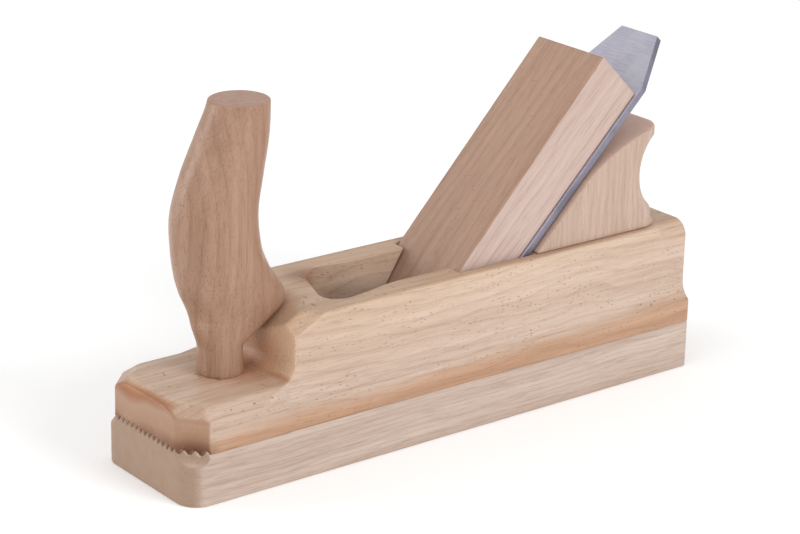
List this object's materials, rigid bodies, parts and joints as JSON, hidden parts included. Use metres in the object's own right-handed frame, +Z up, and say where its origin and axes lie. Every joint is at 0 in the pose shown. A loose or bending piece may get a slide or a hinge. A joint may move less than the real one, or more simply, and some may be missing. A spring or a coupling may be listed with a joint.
{
  "type": "wooden hand plane",
  "caption": "Horned wooden smoothing plane: beech body on a zig-zag glued sole, turned-neck horn, rear hand rest, thick wedge and one tapered iron",
  "frame": {"origin": "middle of the sole's underside, on the surface the plane stands on", "axes": "+X along the body from toe to heel, +Y across to the plane's right side as it is pushed, +Z up"},
  "size_m": [0.24, 0.058, 0.1375],
  "materials": {
    "beech_body": "smooth sanded beech, light oil",
    "hornbeam_sole": "smooth planed hornbeam",
    "beech_horn": "sanded steamed beech",
    "beech_rest": "smooth sanded beech",
    "beech_dowel": "turned beech",
    "beech_wedge": "planed beech",
    "tool_steel": "ground tool steel"
  },
  "bodies": {
    "body": {"body_block": "beech_body", "sole": "hornbeam_sole", "horn": "beech_horn", "rear_rest": "beech_rest", "rest_dowels": "beech_dowel"},
    "wedge": {"wedge": "beech_wedge"},
    "iron": {"iron": "tool_steel"}
  },
  "joints": [
    {"name": "wedge_slide", "type": "slide", "parent": "body", "child": "wedge", "axis": [0.7071, 0, 0.7071], "range_m": [0, 0.05]},
    {"name": "iron_slide", "type": "slide", "parent": "body", "child": "iron", "axis": [0.7071, 0, 0.7071], "range_m": [-0.001, 0.06]}
  ]
}
